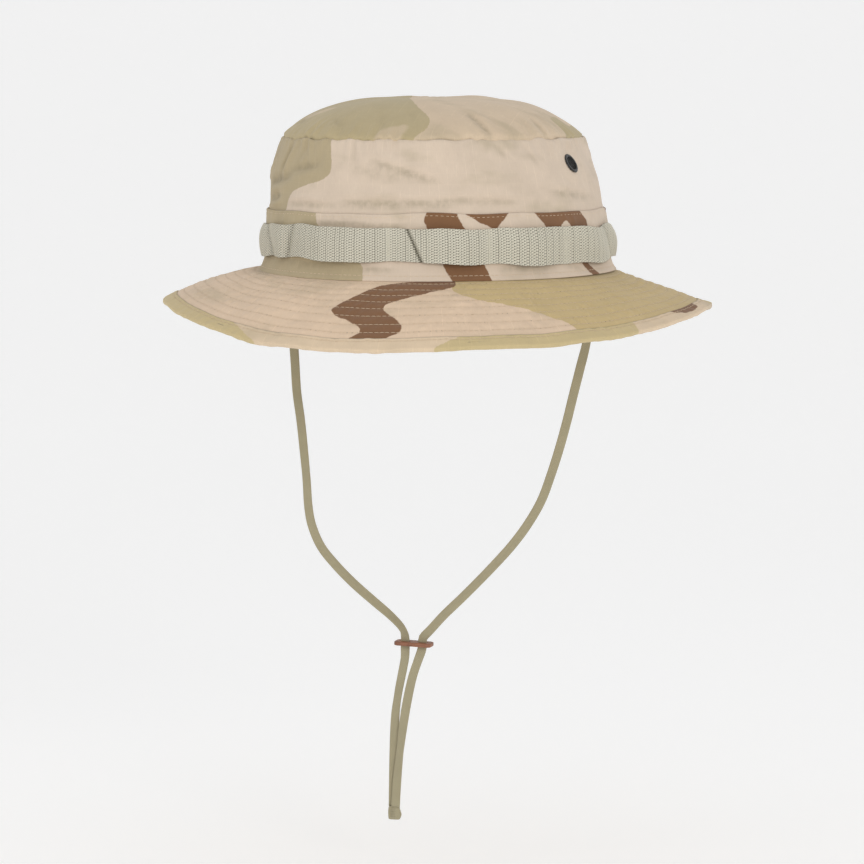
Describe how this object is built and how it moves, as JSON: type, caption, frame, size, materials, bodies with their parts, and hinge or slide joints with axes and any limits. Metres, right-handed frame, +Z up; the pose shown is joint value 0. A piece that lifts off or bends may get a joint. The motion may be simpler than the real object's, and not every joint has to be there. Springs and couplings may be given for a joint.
{
  "type": "boonie hat",
  "caption": "Soft wide-brimmed cloth hat with a webbing loop band, screened side vents, a row-stitched brim and a flat tape chin strap with a leather slide.",
  "frame": {"origin": "centre of the head opening, in the plane where the crown meets the brim", "axes": "+Z up through the crown, the front of the hat faces -Y, +X is the wearer's left"},
  "size_m": [0.298, 0.306, 0.4015],
  "materials": {
    "crown_cloth": "matt ripstop cotton, three-colour desert pattern",
    "brim_cloth": "matt ripstop cotton, three-colour desert pattern",
    "interlining": "stiff plain canvas",
    "webbing": "coarse woven cotton webbing",
    "thread": "twisted sewing thread",
    "lining_tape": "woven cotton tape",
    "label": "smooth woven blank label",
    "vent_metal": "satin dark enamel on brass",
    "vent_screen": "dark wire gauze",
    "strap_tape": "flat woven cotton tape",
    "slide_leather": "smooth brown leather with darker edges"
  },
  "bodies": {
    "hat": {"crown_top": "crown_cloth", "crown_side_wall": "crown_cloth", "crown_band": "crown_cloth", "crown_seam_binding": "lining_tape", "back_seam_tape": "lining_tape", "foliage_band": "webbing", "foliage_band_tacks": "thread", "brim_upper": "brim_cloth", "brim_interlining": "interlining", "brim_lower": "brim_cloth", "brim_edge_binding": "brim_cloth", "brim_stitching": "thread", "crown_stitching": "thread", "sweatband": "lining_tape", "sweatband_stitching": "thread", "vent_eyelet_1": "vent_metal", "vent_eyelet_2": "vent_metal", "vent_eyelet_3": "vent_metal", "vent_eyelet_4": "vent_metal", "vent_washer_1": "vent_metal", "vent_washer_2": "vent_metal", "vent_washer_3": "vent_metal", "vent_washer_4": "vent_metal", "vent_screen_1": "vent_screen", "vent_screen_2": "vent_screen", "vent_screen_3": "vent_screen", "vent_screen_4": "vent_screen", "blank_label": "label", "strap_anchor_left": "strap_tape", "strap_anchor_right": "strap_tape"},
    "chin_strap": {"chin_strap_left": "strap_tape", "chin_strap_right": "strap_tape", "strap_tail_left": "strap_tape", "strap_tail_right": "strap_tape", "strap_end_tack": "strap_tape"},
    "strap_slide": {"leather_slide": "slide_leather"}
  },
  "joints": [
    {"name": "chin_strap_swing", "type": "hinge", "parent": "hat", "child": "chin_strap", "pos_m": [0, 0, 0], "axis": [1, 0, 0], "range_deg": [-50, 50]},
    {"name": "slide_along_strap", "type": "slide", "parent": "chin_strap", "child": "strap_slide", "axis": [0, 0, 1], "range_m": [-0.06, 0.09], "deforming": ["chin_strap_left", "chin_strap_right", "strap_tail_left", "strap_tail_right"]}
  ]
}
